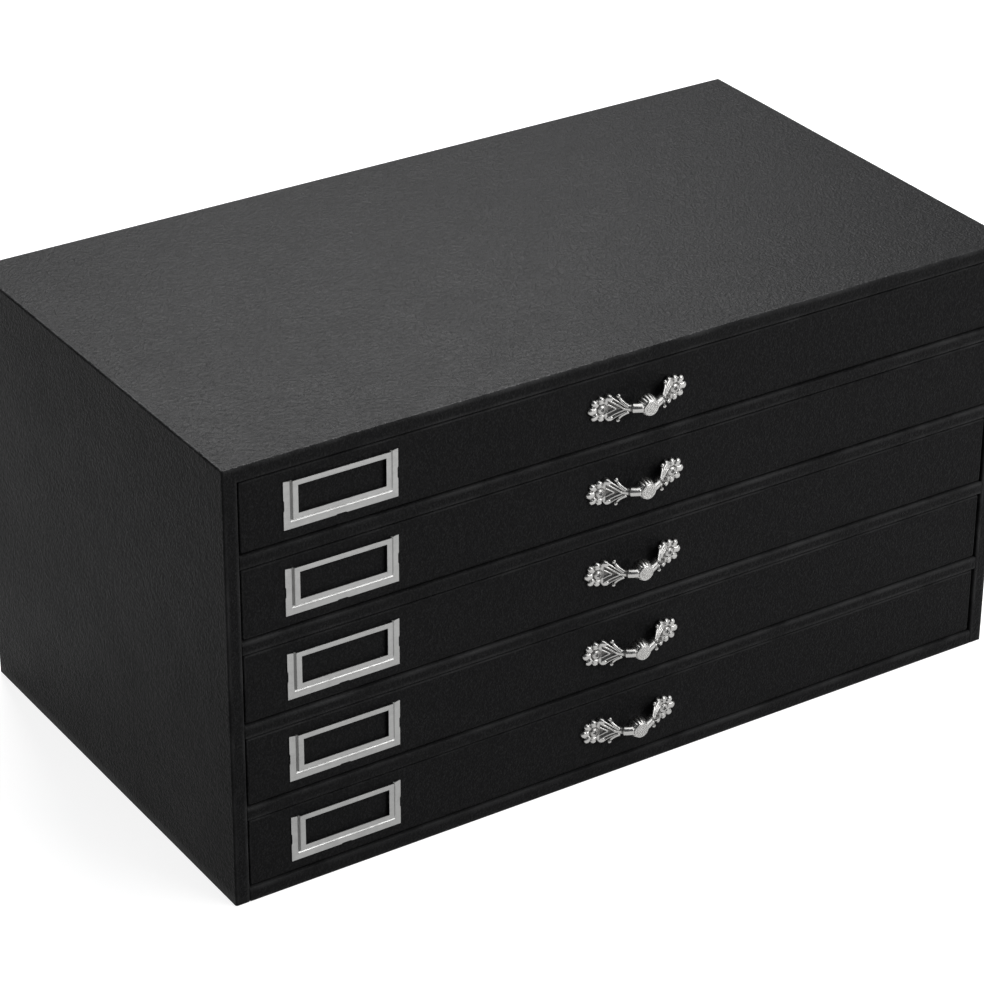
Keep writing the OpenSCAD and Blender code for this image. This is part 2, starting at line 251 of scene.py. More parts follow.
def dyed_board():
    """Black dye over fibres: streaks along the board, darker where the dye has pooled."""
    material, tree, output = new_material("dyed_board")
    place = add_node(tree, "TexCoord").outputs["Object"]
    along = add_node(tree, "Mapping", {"Vector": place, "Scale": fibre_along}).outputs["Vector"]
    fibres = add_node(tree, "TexNoise", {
        "Vector": along, "Scale": fibre_scale, "Detail": 6.0, "Roughness": 0.7})
    specks = add_node(tree, "TexNoise", {"Vector": place, "Scale": speck_scale, "Detail": 2.0})
    pooled = use_group(tree, marks, {"Vector": place, "Patches": board_patches})["Mask"]
    grain = math_node(tree, "MULTIPLY", fibres.outputs["Fac"], specks.outputs["Fac"])
    tone = remap(tree, math_node(tree, "MULTIPLY", grain, pooled), 0.05, 0.3, 0.0, 1.0)
    color = mix_colors(tree, tone, board_dark, board_light)
    rough = remap(tree, grain, 0.1, 0.4, *board_rough)
    shade(tree, output, color, rough, grain, board_bump, {"Specular IOR Level": board_gloss})
    return material


board_finish = dyed_board()
case_boards = ["case_top", "case_base", "case_left_side", "case_right_side", "case_back"]
case_shelves = sorted(name for name in frame["nodes"] if name.startswith("case_shelf_"))
for name in case_boards + case_shelves:
    paint(frame["nodes"][name], board_finish)


# Case wrap: one sheet of black grained leatherette glued over the left side, the top and the right
# side, turned round the front edges into the drawer bays and round the back edges.

sheet_t = 0.5 * mm
edge_r = 1.0 * mm
tuck_r = 0.9 * mm
tuck_depth = 14.0 * mm
tuck_proud = 0.15 * mm
back_step = 0.3 * mm
back_turn = 14.0 * mm
wave_depth = 0.04 * mm
wave_margin = 4.0 * mm
wave_across = (61.0, 23.0)
wave_along = (47.0, -29.0)
wave_shift = 1.3
fold_fade = 0.4 * mm
fold_steps = 7
tuck_rows = 6
face_rows = 46
climb_rows = 40
climb_hold = 0.002
top_rows = 76
top_hold = 0.001
weld_gap = 0.002 * mm

# A darker tone painted into the grain's creases: a painted shade.
hide_crease_shade = (0.0090, 0.0090, 0.0093, 1.0)
hide_tone = (0.0200, 0.0200, 0.0205, 1.0)
# A lighter tone painted along the folded edges: a painted highlight.
hide_edge_highlight = (0.0300, 0.0300, 0.0306, 1.0)
hide_rough = (0.39, 0.35)
hide_gloss = 0.02
hide_patches = 9.0
crease_rough = 0.05
fold_polish = 0.08
grain_cells = 1050.0
grain_depth = 0.42 * mm
drift_scale = 420.0
drift_reach = 1.1 * mm
pebble_range = (0.12, 0.62)
pebble_share = 0.22
ground_scale = 0.42
ground_range = (0.25, 0.75)
ground_share = 0.5


def grid_faces(rows, cols, loop_cols=False, flip=False):
    """Quads between the points of a grid; looped columns join the last one to the first."""
    row, col = np.meshgrid(np.arange(rows - 1), np.arange(cols - (not loop_cols)), indexing="ij")
    next_row, next_col = row + 1, (col + 1) % cols
    quads = np.stack([row * cols + col, row * cols + next_col,
                      next_row * cols + next_col, next_row * cols + col], axis=-1).reshape(-1, 4)
    return quads[:, ::-1] if flip else quads


def surface(points, attribute=None, **grid):
    """A grid of points with its quads, and one value per point for the material to read."""
    rows, cols = points.shape[:2]
    values = np.zeros((rows, cols)) if attribute is None else np.broadcast_to(attribute, (rows, cols))
    return points.reshape(-1, 3), grid_faces(rows, cols, **grid), values.reshape(-1)


def build_piece(name, surfaces, material, body, attribute="edge", closed=False, sharp=35.0):
    """One mesh from several surfaces. Points that fall together are joined, so seams and poles close."""
    all_points, all_faces, all_values = zip(*surfaces)
    starts = np.cumsum([0] + [len(points) for points in all_points])
    faces = np.concatenate([quads + start for quads, start in zip(all_faces, starts)])
    mesh = bpy.data.meshes.new(name)
    mesh.from_pydata(np.concatenate(all_points).tolist(), [], faces.tolist())
    layer = mesh.attributes.new(attribute, "FLOAT", "POINT")
    layer.data.foreach_set("value", np.concatenate(all_values))
    work = bmesh.new()
    work.from_mesh(mesh)
    bmesh.ops.remove_doubles(work, verts=work.verts, dist=weld_gap)
    bmesh.ops.dissolve_degenerate(work, edges=work.edges, dist=weld_gap)
    bmesh.ops.delete(work, geom=[edge for edge in work.edges if not edge.link_faces], context="EDGES")
    if closed:
        bmesh.ops.recalc_face_normals(work, faces=work.faces)
    work.to_mesh(mesh)
    work.free()
    mesh.polygons.foreach_set("use_smooth", np.ones(len(mesh.polygons), bool))
    mesh.set_sharp_from_angle(angle=math.radians(sharp))
    piece = bpy.data.objects.new(name, mesh)
    scene.collection.objects.link(piece)
    paint(piece, material)
    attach(piece, body)
    return piece


def thicken(piece, thickness):
    """Gives a sheet its thickness, inwards from the side that shows."""
    wall = piece.modifiers.new("thickness", "SOLIDIFY")
    wall.thickness = thickness
    wall.offset = -1.0
    wall.use_even_offset = True


def pebbled_grain():
    """Embossed grain: an uneven, wrinkled ground with small rounded pebbles and their creases over it."""
    sockets = {"Vector": "Vector", "Cells": "Float"}
    group, given, result = new_group("pebbled_grain", sockets, ["Height", "Crease"])
    drift = add_node(group, "TexNoise", {"Vector": given["Vector"], "Scale": drift_scale, "Detail": 1.0})
    centred = {0: drift.outputs["Color"], 1: (0.5, 0.5, 0.5)}
    drift = add_node(group, "VectorMath", centred, operation="SUBTRACT")
    drift = add_node(group, "VectorMath", {0: drift.outputs[0], "Scale": drift_reach}, operation="SCALE")
    moved = {0: given["Vector"], 1: drift.outputs[0]}
    place = add_node(group, "VectorMath", moved, operation="ADD").outputs[0]
    cells = add_node(group, "TexVoronoi", {"Vector": place, "Scale": given["Cells"]}, feature="SMOOTH_F1")
    pebble = remap(group, cells.outputs["Distance"], *pebble_range, 1.0, 0.0, True)
    broader = math_node(group, "MULTIPLY", given["Cells"], ground_scale)
    ground = add_node(group, "TexNoise", {
        "Vector": place, "Scale": broader, "Detail": 3.0, "Roughness": 0.6, "Distortion": 0.7}).outputs["Fac"]
    ground = remap(group, ground, *ground_range, 0.0, 1.0)
    raised = math_node(group, "MULTIPLY", pebble, pebble_share)
    rolling = math_node(group, "MULTIPLY", ground, ground_share)
    group.links.new(math_node(group, "ADD", raised, rolling), result["Height"])
    crest = math_node(group, "MULTIPLY", pebble, ground)
    group.links.new(math_node(group, "SUBTRACT", 1.0, crest), result["Crease"])
    return group


def leatherette():
    """Black embossed sheet: painted shade in the grain's creases, cloudy sheen, and a painted highlight along
    the folded edges.
    """
    material, tree, output = new_material("leatherette")
    place = add_node(tree, "TexCoord").outputs["Object"]
    grain = use_group(tree, pebbled_grain(), {"Vector": place, "Cells": grain_cells})
    cloud = use_group(tree, marks, {"Vector": place, "Patches": hide_patches})["Mask"]
    folded = add_node(tree, "Attribute", attribute_name="edge").outputs["Fac"]
    # Painted highlight: the folded edges take a lighter tone, broken up in patches.
    patchy_mask = math_node(tree, "MULTIPLY", folded, cloud)
    # Painted shade: the grain's creases take the darker tone.
    color = mix_colors(tree, grain["Crease"], hide_tone, hide_crease_shade)
    color = mix_colors(tree, patchy_mask, color, hide_edge_highlight)
    creased = math_node(tree, "MULTIPLY", grain["Crease"], crease_rough)
    rough = math_node(tree, "ADD", remap(tree, cloud, 0.0, 1.0, *hide_rough), creased)
    rough = math_node(tree, "SUBTRACT", rough, math_node(tree, "MULTIPLY", folded, fold_polish))
    shade(tree, output, color, rough, grain["Height"], grain_depth, {"Specular IOR Level": hide_gloss})
    return material


hide_finish = leatherette()


def hide_piece(name, surfaces, body):
    """A piece of leatherette with the thickness of the sheet."""
    piece = build_piece(name, surfaces, hide_finish, body)
    thicken(piece, sheet_t)
    return piece


case_w = case_high.x - case_low.x
case_h = case_high.z
front_y = case_low.y
back_y = case_high.y - back_step
board_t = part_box("case_base")[1].z
side_inset = sheet_t + board_t


def arc(start, end, steps):
    """Angles from start to end in degrees, both ends kept."""
    return np.radians(np.linspace(start, end, steps))


def wrap_profile():
    """Across the wrap, as inset and depth: from its cut end in the bay, round the front edge, along the
    outside, round the back edge to its cut end there. The two folds and the two edges are arcs."""
    inside = side_inset + tuck_proud
    turn = arc(0, 90, fold_steps)
    tuck = [np.full(tuck_rows, inside), np.linspace(front_y + tuck_depth, front_y + tuck_r, tuck_rows)]
    fold = [inside - tuck_r * (1 - np.cos(turn)), front_y + tuck_r * (1 - np.sin(turn))]
    strip = [np.linspace(inside - tuck_r, edge_r, tuck_rows)[1:-1], np.full(tuck_rows - 2, front_y)]
    nose = [edge_r * (1 - np.sin(turn)), front_y + edge_r * (1 - np.cos(turn))]
    flat = np.linspace(front_y + edge_r + fold_fade, back_y - edge_r - fold_fade, face_rows)
    face = [np.zeros(face_rows), flat]
    heel = [edge_r * (1 - np.cos(turn)), back_y - edge_r * (1 - np.sin(turn))]
    turned = [np.linspace(edge_r, back_turn, tuck_rows)[1:], np.full(tuck_rows - 1, back_y)]
    parts = [tuck, fold, strip, nose, face, heel, turned]
    soft = np.repeat([0.0, 1.0, 0.0, 1.0, 0.0, 1.0, 0.0], [len(part[0]) for part in parts])
    return np.concatenate([p[0] for p in parts]), np.concatenate([p[1] for p in parts]), soft


def wrap_surface():
    """The profile carried up the left side, over the top and down the right side. An inset line turns
    each upper corner on an arc of the edge radius less its inset, or on a mitre where that is gone."""
    inset, depth, soft = wrap_profile()
    held = np.maximum(inset, edge_r)
    round_r = np.maximum(edge_r - inset, 0.0)
    half = case_w / 2
    climb = np.append(np.linspace(0, 1, climb_rows)[:-1], [1 - climb_hold, 1.0])[:, None]
    across = np.concatenate([[top_hold], np.linspace(0, 1, top_rows)[1:-1], [1 - top_hold]])[:, None]
    turn = arc(0, 90, fold_steps)[:, None]
    left_x, left_z = inset - half + 0 * climb, climb * (case_h - held)
    corner_x, corner_z = held - half - round_r * np.cos(turn), case_h - held + round_r * np.sin(turn)
    top_x, top_z = held - half + across * (2 * half - 2 * held), case_h - inset + 0 * across
    x = np.concatenate([left_x, corner_x, top_x, -corner_x[::-1], -left_x[::-1]])
    z = np.concatenate([left_z, corner_z, top_z, corner_z[::-1], left_z[::-1]])
    y = np.broadcast_to(depth, x.shape)
    bend = np.concatenate([0 * climb, 0 * turn + 1, 0 * across, 0 * turn + 1, 0 * climb])
    flat = (inset == 0) & (np.abs(depth) < back_y - wave_margin)
    ripple = np.sin(wave_across[0] * x + wave_across[1] * y)
    cross_ripple = np.sin(wave_along[0] * y + wave_along[1] * z + wave_shift)
    wave = wave_depth * flat * ripple * cross_ripple
    points = np.stack([x * (1 - wave / half), y, z - wave * (z > case_h - edge_r)], axis=-1)
    # The edge values mark the folds and rounded edges, where the leatherette paints its highlight.
    return surface(points, np.maximum(bend, soft), flip=True)


wrap = hide_piece("case_wrap", [wrap_surface()], "case")
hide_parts("case_cover")


# Shelf and base strips: leatherette folded round the front edge of each shelf, top and underside,
# and over the front edge of the base, glued down between the covered sides.

strip_half = case_w / 2 - side_inset - tuck_proud
strip_end = 0.35 * mm
strip_dip = 0.12 * mm
strip_rows = 60


def strip_surface(low, high, under):
    """A strip carried along its shelf: back over the top, round the nose and back underneath, as arcs
    and lines. Its two ends dip a little where they meet the covered sides."""
    turn = arc(0, 90, fold_steps)
    top = high + tuck_proud
    foot = low - tuck_proud if under else low
    upper = [np.linspace(front_y + tuck_depth, front_y + tuck_r, tuck_rows)[:-1], np.full(tuck_rows - 1, top)]
    brow = [front_y + tuck_r * (1 - np.sin(turn)), top - tuck_r * (1 - np.cos(turn))]
    lip = [np.full(3, front_y), np.linspace(top - tuck_r, foot + (tuck_r if under else 0.0), 5)[1:-1]]
    chin = [front_y + tuck_r * (1 - np.cos(turn)), foot + tuck_r * (1 - np.sin(turn))]
    lower = [np.linspace(front_y + tuck_r, front_y + tuck_depth, tuck_rows)[1:], np.full(tuck_rows - 1, foot)]
    hem = [np.array([front_y]), np.array([foot])]
    parts = [upper, brow, lip, chin, lower] if under else [upper, brow, lip, hem]
    y, z = (np.concatenate([p[i] for p in parts]) for i in (0, 1))
    soft = np.repeat([0.0, 1.0, 0.0, 1.0, 0.0][:len(parts)], [len(p[0]) for p in parts])
    ends = np.array([0.0, 0.3, 1.0]) * strip_end
    length = np.linspace(strip_end - strip_half, strip_half - strip_end, strip_rows)
    x = np.concatenate([ends - strip_half, length[1:-1], strip_half - ends[::-1]])
    dip = strip_dip * np.clip(1 - (strip_half - np.abs(x)) / strip_end, 0, 1) ** 2
    points = np.stack(np.broadcast_arrays(x[:, None], y + dip[:, None], z), axis=-1)
    return surface(points, soft)


for name in case_shelves:
    shelf_low, shelf_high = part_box(name)
    strip_parts = [strip_surface(shelf_low.z, shelf_high.z, True)]
    strip = hide_piece(name.replace("shelf", "shelf_strip"), strip_parts, "case")
    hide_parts("case_cover")
base_strip = hide_piece("case_base_strip", [strip_surface(0.0, board_t, False)], "case")
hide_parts("case_cover")


# Back panel: a leatherette sheet cut a little smaller than the back and glued over the turned edges
# of the wrap, so that its cut edge stands up as a thin step all round.

panel_margin = 5.0 * mm
panel_foot = 0.6 * mm
panel_corner = 2.0 * mm


def stops(low, high, count, radius, arc_steps, depth, depth_steps):
    """Places along one direction of a soft block: the middle of the rounding, its angle, and how far
    behind the rounding the point lies on the sides that run back."""
    run = np.linspace(depth, 0, depth_steps)[:-1]
    turn = arc(-90, 0, arc_steps)
    core = np.linspace(low + radius, high - radius, count)
    inner = core[1:-1]
    ends = len(run) + arc_steps
    held = np.full(len(run), turn[0])
    middle = np.concatenate([np.full(ends, core[0]), inner, np.full(ends, core[-1])])
    angle = np.concatenate([held, turn, 0 * inner, -turn[::-1], -held])
    behind = np.concatenate([run, 0 * turn, 0 * inner, 0 * turn, run[::-1]])
    return middle, angle, behind


def soft_block(across, along, radius):
    """A face with rounded edges and sides that run back, as a function of two places: the middle of the
    rounding plus its radius along the two angles. Gives first, second and outward offsets and softness."""
    (cu, au, bu), (cv, av, bv) = [[row[:, None] for row in across], [row[None, :] for row in along]]
    first = cu + radius * np.sin(au) * np.cos(av)
    second = cv + radius * np.sin(av) + 0 * cu
    outward = radius * (np.cos(au) * np.cos(av) - 1) - np.maximum(bu, bv)
    soft = np.maximum(np.abs(np.sin(2 * au)), np.abs(np.sin(2 * av))) ** 0.5
    return first, second, outward, soft


panel_x = stops(case_low.x + panel_margin, case_high.x - panel_margin, 60, panel_corner, 5, 0.0, 1)
panel_z = stops(panel_foot, case_h - panel_margin, 34, panel_corner, 5, 0.0, 1)
panel_across, panel_up = soft_block(panel_x, panel_z, panel_corner)[:2]
panel_points = np.stack([panel_across, np.full_like(panel_across, case_high.y), panel_up], axis=-1)
panel = hide_piece("case_back_panel", [surface(panel_points)], "case")
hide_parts("case_cover")


# Drawer boxes: front, sides, back and bottom of the same dyed board, glued and pinned, the bottom
# lying in rabbets of the sides. They show when a drawer is pulled out.

drawers = sorted(name for name in frame["bodies"] if name.startswith("drawer_"))
for drawer in drawers:
    for piece in ("front", "left_side", "right_side", "back", "bottom"):
        paint(frame["nodes"][f"{drawer}_{piece}"], board_finish)


# Drawer front covers: leatherette drawn over the face and the four edges of each front board, with
# soft edges, and turned over the top edge onto the back of the board.

front_turn = 9.0 * mm
turn_proud = 0.3 * mm


def front_cover_surfaces(drawer):
    """A soft block over the front board, and a strip from its top edge down the back of the board."""
    low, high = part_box(f"{drawer}_front_cover")
    depth = high.y - low.y - edge_r
    across = stops(low.x, high.x, 90, edge_r, fold_steps, depth, 4)
    along = stops(low.z, high.z, 12, edge_r, fold_steps, depth, 4)
    x, z, outward, soft = soft_block(across, along, edge_r)
    cover = surface(np.stack([x, low.y - outward, z], axis=-1), soft, flip=True)
    inner_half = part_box(f"{drawer}_back")[1].x
    run = np.linspace(-inner_half, inner_half, 40)[:, None]
    bend = arc(0, 90, 5)
    y = high.y + turn_proud * np.concatenate([np.sin(bend), [1.0, 1.0, 1.0]])
    drop = np.concatenate([turn_proud * (1 - np.cos(bend)), np.linspace(turn_proud, front_turn, 4)[1:]])
    turned = np.stack(np.broadcast_arrays(run, y, high.z - drop), axis=-1)
    return [cover, surface(turned, flip=True)]


for drawer in drawers:
    cover = hide_piece(f"{drawer}_front_leatherette", front_cover_surfaces(drawer), drawer)
    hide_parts(f"{drawer}_front_cover")


# Lining pads: thin foam under black velvet, cut to the inside of each drawer and glued to its bottom.
# The pad is crowned, its sides draw in between the corners, and the pile lies in brushed patches.

pad_r = 1.1 * mm
pad_crown = 0.7 * mm
pad_draw = 1.0 * mm
pile_dark = (0.0040, 0.0038, 0.0042, 1.0)
pile_light = (0.0150, 0.0145, 0.0155, 1.0)
pile_bump = 0.12 * mm
pile_scale = 2600.0
pile_patches = 22.0
pile_rough = (0.95, 0.8)
pile_sheen = {"Specular IOR Level": 0.1, "Sheen Weight": 0.35, "Sheen Roughness": 0.4,
              "Sheen Tint": (0.5, 0.5, 0.55, 1.0)}


def velvet():
    """Short pile: fine upright fibres, brushed patches, and a soft sheen at the turned edges."""
    material, tree, output = new_material("velvet")
    place = add_node(tree, "TexCoord").outputs["Object"]
    pile = add_node(tree, "TexNoise", {"Vector": place, "Scale": pile_scale, "Detail": 2.0}).outputs["Fac"]
    brushed = use_group(tree, marks, {"Vector": place, "Patches": pile_patches})["Mask"]
    tone = math_node(tree, "MULTIPLY", pile, brushed)
    color = mix_colors(tree, remap(tree, tone, 0.1, 0.6, 0.0, 1.0), pile_dark, pile_light)
    rough = remap(tree, brushed, 0.0, 1.0, *pile_rough)
    shade(tree, output, color, rough, pile, pile_bump, pile_sheen)
    return material


def pad_surfaces(drawer):
    """A soft block lying on the drawer bottom. Its top is raised by a crown that falls to nothing at the
    edges, its sides draw in as a parabola between the corners, and a flat sheet closes it below."""
    low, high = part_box(f"{drawer}_lining")
    depth = high.z - low.z - pad_r
    across = stops(low.x, high.x, 60, pad_r, 6, depth, 3)
    along = stops(low.y, high.y, 36, pad_r, 6, depth, 3)
    x, y, outward, soft = soft_block(across, along, pad_r)
    mid_x, mid_y = (low.x + high.x) / 2, (low.y + high.y) / 2
    u, v = (x - mid_x) / (high.x - mid_x), (y - mid_y) / (high.y - mid_y)
    crown = pad_crown * np.clip((1 - u ** 4) * (1 - v ** 4), 0, 1)
    drawn_x = x - np.sign(u) * pad_draw * np.abs(u) ** 8 * (1 - v ** 2).clip(0, 1)
    drawn_y = y - np.sign(v) * pad_draw * np.abs(v) ** 8 * (1 - u ** 2).clip(0, 1)
    upper = np.stack([drawn_x, drawn_y, high.z + outward + crown], axis=-1)
    under = upper[2:-2, 2:-2].copy()
    under[..., 2] = low.z
    return [surface(upper, soft), surface(under, flip=True)]


velvet_finish = velvet()
for drawer in drawers:
    pad = build_piece(f"{drawer}_velvet_pad", pad_surfaces(drawer), velvet_finish, drawer,
                      closed=True)
    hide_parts(f"{drawer}_lining")


# Label holders: stamped from thin sheet steel and plated to a satin grey. A flange on three sides dips
# into a groove and steps up to a raised frame, open above for the card. Three prongs bent back from
# nicks in the flange pin it to the drawer front.

plate_t = 0.5 * mm
flange_side = 2.7 * mm
flange_low = 3.4 * mm
flange_lift = 0.5 * mm
step_run = 1.4 * mm
step_rise = 1.2 * mm
groove = 0.62
frame_w = 2.4 * mm
nick_depth = 0.35 * mm
nick_half = 2.7 * mm
nick_ramp = 0.5 * mm
nick_fade = (1.0, 0.78, 0.42)
prong_half = 1.5 * mm
prong_len = 3.5 * mm
prong_bend = 0.5 * mm
plate_bevel = 0.1 * mm
plate_sharp = 50.0
satin_light = (0.37, 0.37, 0.365, 1.0)
satin_dark = (0.26, 0.26, 0.256, 1.0)
satin_rough = (0.34, 0.46)
satin_wear = (0.45, 0.8)
satin_patches = 60.0
brush_pitch = (120.0, 120.0, 5200.0)
brush_bump = 0.004 * mm


def fine_scratches():
    """Hair lines left by polishing: noise drawn out along one direction, with only its crests kept."""
    group, given, result = new_group("fine_scratches", {"Vector": "Vector", "Pitch": "Vector"}, ["Lines"])
    stretch = {0: given["Vector"], 1: given["Pitch"]}
    along = add_node(group, "VectorMath", stretch, operation="MULTIPLY").outputs[0]
    lines = add_node(group, "TexNoise", {"Vector": along, "Scale": 1.0, "Detail": 3.0, "Roughness": 0.65})
    group.links.new(remap(group, lines.outputs["Fac"], 0.3, 0.75, 0.0, 1.0), result["Lines"])
    return group


scratches = fine_scratches()


def satin_plate():
    """Satin plating: brushed along the frame, and a little dull in patches."""
    material, tree, output = new_material("satin_plate")
    place = add_node(tree, "TexCoord").outputs["Object"]
    lines = use_group(tree, scratches, {"Vector": place, "Pitch": brush_pitch})["Lines"]
    dull = use_group(tree, marks, {"Vector": place, "Patches": satin_patches})["Mask"]
    worn = math_node(tree, "MULTIPLY", lines, remap(tree, dull, 0.0, 1.0, *satin_wear))
    color = mix_colors(tree, worn, satin_light, satin_dark)
    rough = remap(tree, dull, 0.0, 1.0, *satin_rough)
    shade(tree, output, color, rough, lines, brush_bump, {"Metallic": 1.0})
    return material


def on_front(x, y, out, middle):
    """Points given across, up and out from a place on a drawer front."""
    return np.stack(np.broadcast_arrays(x, -out, y), axis=-1) + middle


def holder_surfaces(drawer):
    """A profile of flange, groove, step and frame carried down the left side, along the bottom and up the
    right side with mitred corners. The groove and the step are half waves of a cosine. A bar closes the
    frame on top, and three prongs bend back."""
    low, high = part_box(f"{drawer}_label_holder")
    face_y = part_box(f"{drawer}_front_cover")[0].y
    half, tall = (high.x - low.x) / 2, (high.z - low.z) / 2
    middle = np.array([(low.x + high.x) / 2, face_y, (low.z + high.z) / 2])

    share = np.linspace(0, 1, 15)
    flat = np.array([0.0, 0.14, 0.36, 0.7, 0.94])
    step = step_run * share
    frame_in = step_run + np.array([0.16, 0.5, 0.84, 1.0]) * frame_w
    side = np.concatenate([flat * flange_side, flange_side + step, flange_side + frame_in])
    foot = np.concatenate([flat * flange_low, flange_low + step, flange_low + frame_in])
    wall = np.where(share < groove, flange_lift * (1 + np.cos(math.pi * share / groove)) / 2,
                    step_rise * (1 - np.cos(math.pi * (share - groove) / (1 - groove))) / 2)
    rise = np.concatenate([flange_lift * flat ** 2, wall, 0 * frame_in + step_rise])

    bar_y = tall - frame_w * np.linspace(0, 1, 4)[:, None]
    fall = np.linspace(0, 1, 68)[1:, None]
    edge_y = np.concatenate([bar_y + 0 * foot, bar_y[-1] + fall * (foot - tall - bar_y[-1])])
    edge_x = np.broadcast_to(side - half, edge_y.shape)
    run = np.linspace(0, 1, 150)[1:-1, None]
    low_x = (side - half) * (1 - 2 * run)
    low_y = np.broadcast_to(foot - tall, low_x.shape)

    give = np.zeros(len(side))
    give[:len(nick_fade)] = nick_fade
    side_nick = nick_depth * np.clip((nick_half - np.abs(edge_y)) / nick_ramp, 0, 1) * give
    low_nick = nick_depth * np.clip((nick_half - np.abs(low_x)) / nick_ramp, 0, 1) * give
    x = np.concatenate([edge_x + side_nick, low_x, -(edge_x + side_nick)[::-1]])
    y = np.concatenate([edge_y, low_y + low_nick, edge_y[::-1]])
    rim = surface(on_front(x, y, plate_t + rise, middle), flip=True)

    window_half = half - side[-1]
    bar_x = np.linspace(-window_half, window_half, 60)[None, :]
    bar = on_front(bar_x, bar_y, plate_t + step_rise, middle)

    bend = arc(0, 90, 6)
    out = np.concatenate([nick_depth + prong_bend * (1 - np.sin(bend)), [nick_depth, nick_depth]])[:, None]
    deep = np.concatenate([plate_t - prong_bend * (1 - np.cos(bend)), [-prong_len / 2, -prong_len]])[:, None]
    wide = np.linspace(-prong_half, prong_half, 5)[None, :]
    prongs = [on_front(wide, out - tall, deep, middle),
              on_front(out - half, -wide, deep, middle),
              on_front(half - out, wide, deep, middle)]
    return [rim, surface(bar, flip=True)] + [surface(prong, flip=True) for prong in prongs]


satin_finish = satin_plate()
for drawer in drawers:
    holder_parts = holder_surfaces(drawer)
    holder = build_piece(f"{drawer}_card_frame", holder_parts, satin_finish, drawer,
                         sharp=plate_sharp)
    thicken(holder, plate_t)
    bevel = holder.modifiers.new("cut_edges", "BEVEL")
    bevel.width = plate_bevel
    bevel.segments = 2
    bevel.angle_limit = math.radians(plate_sharp)
    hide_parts(f"{drawer}_label_holder")


# Pulls: cast white metal, silvered and darkened in the hollows. Two palmette leaves lie on the drawer
# front and rise to an arched bar with a reeded drum boss; a screw through each leaf holds the pull.

screw_x = 19.5 * mm
lobe_turn = np.radians([0.0, 45.0, 87.0, 124.0])
lobe_out = np.array([5.1, 5.2, 4.8, 6.2]) * mm
lobe_r = np.array([1.85, 1.6, 1.55, 1.6]) * mm
lobe_draw = np.array([0.55, 0.55, 0.55, 1.0])
leaf_disc = 5.3 * mm
leaf_shoulder = (-4.5 * mm, 6.3 * mm)
leaf_neck = (-9.8 * mm, 1.35 * mm)
leaf_base = 0.95 * mm
leaf_under = 0.3 * mm
leaf_wall = 1.2 * mm
leaf_join = 12.5 * mm
ridge_sink = 0.2 * mm
foot_sink = 1.5 * mm
leaf_sides = 288
leaf_rows = 54
neck_crowd = 0.35
edge_crowd = 1.4
edge_round = 12
leaf_flat = 22.2 * mm
sweep_r = 15.3 * mm
relief_rise = 1.05 * mm
pit_turn = np.radians([24.0, 66.0, 105.0])
pit_out = np.array([4.3, 4.1, 4.3]) * mm
pit_r = 0.5 * mm
pit_sink = 0.6
pit_dark = 0.7
petal_base = 0.4
petal_end = (-3.2 * mm, -2.2 * mm)
shoulder_fill = 0.95
veins = (((-3.9 * mm, 5.7 * mm), (-10.0 * mm, 0.75 * mm), 0.6 * mm, 1.0),
         ((-3.1 * mm, 4.0 * mm), (-8.3 * mm, 0.3 * mm), 0.56 * mm, 0.86),
         ((-2.6 * mm, 2.0 * mm), (-5.6 * mm, 0.2 * mm), 0.5 * mm, 0.7))
seat_r = 1.95 * mm
seat_h = 2.1 * mm
seat_edge = 0.3 * mm
seat_shadow = 0.4 * mm
collar_r = 2.3 * mm
collar_fade = 0.7 * mm
collar_keep = 0.3
hollow_range = (0.04, 0.5)

arch_r = 12.0 * mm
arch_top = 9.7 * mm
arch_turn = math.radians(42)
arch_end = 13.6 * mm
sleeve_from = 3.0 * mm
sleeve_to = 8.0 * mm
sleeve_r = 2.35 * mm
sleeve_waist = 0.12 * mm
neck_r = 1.75 * mm
notch_at = 0.15 * mm
notch_w = 0.3 * mm
notch_past = 0.6 * mm
drum_shadow = 0.3 * mm
bar_close = 2.0 * mm
bar_sides = 44

ball_place = (12.7 * mm, 5.9 * mm, 3.5 * mm)
ball_r = 1.0 * mm
ball_from = 0.62
stem_r = 0.62 * mm
stem_swell = 0.4 * mm
horn_path = np.array([[9.0, 0.9, 7.4], [10.4, 2.5, 6.2], [12.0, 3.4, 4.6]]) * mm
horn_shadow = 0.35 * mm
horn_sides = 24

drum_r = 3.5 * mm
drum_swell = 1.1 * mm
drum_len = 5.8 * mm
side_from = 0.35 * mm
side_to = 1.1 * mm
side_stop = 0.8 * mm
reeds = 14
reed_rise = 0.55 * mm
reed_mid = 2.5 * mm
reed_fill = 0.94
face_r = 3.85 * mm
rim_round = 0.45 * mm
rim_groove = 0.85 * mm
seed_pitch = 0.78 * mm
seed_r = 0.4 * mm
seed_rise = 0.16 * mm
seed_dark = 0.45

silver_bright = (0.44, 0.435, 0.425, 1.0)
silver_worn = (0.33, 0.325, 0.315, 1.0)
silver_dark = (0.035, 0.033, 0.031, 1.0)
silver_rough = (0.2, 0.3)
silver_dirt = (0.95, 0.7)
silver_patches = 190.0
silver_pitch = (900.0, 900.0, 2600.0)
line_share = 0.6
hollow_rough = 0.25
rub_bump = 0.02 * mm


def smooth_step(low, high, value):
    """0 at low and beyond it, 1 at high and beyond it, and a smooth curve between."""
    share = np.clip((value - low) / (high - low), 0, 1)
    return share * share * (3 - 2 * share)


def vein(x, side, start, end, half):
    """A raised rib between two points: a half round over the distance to the line."""
    ax, ay = start
    dx, dy = end[0] - ax, end[1] - ay
    along = np.clip(((x - ax) * dx + (side - ay) * dy) / (dx * dx + dy * dy), 0, 1)
    away = np.hypot(x - ax - along * dx, side - ay - along * dy)
    return np.sqrt(np.clip(1 - (away / half) ** 2, 0, 1))


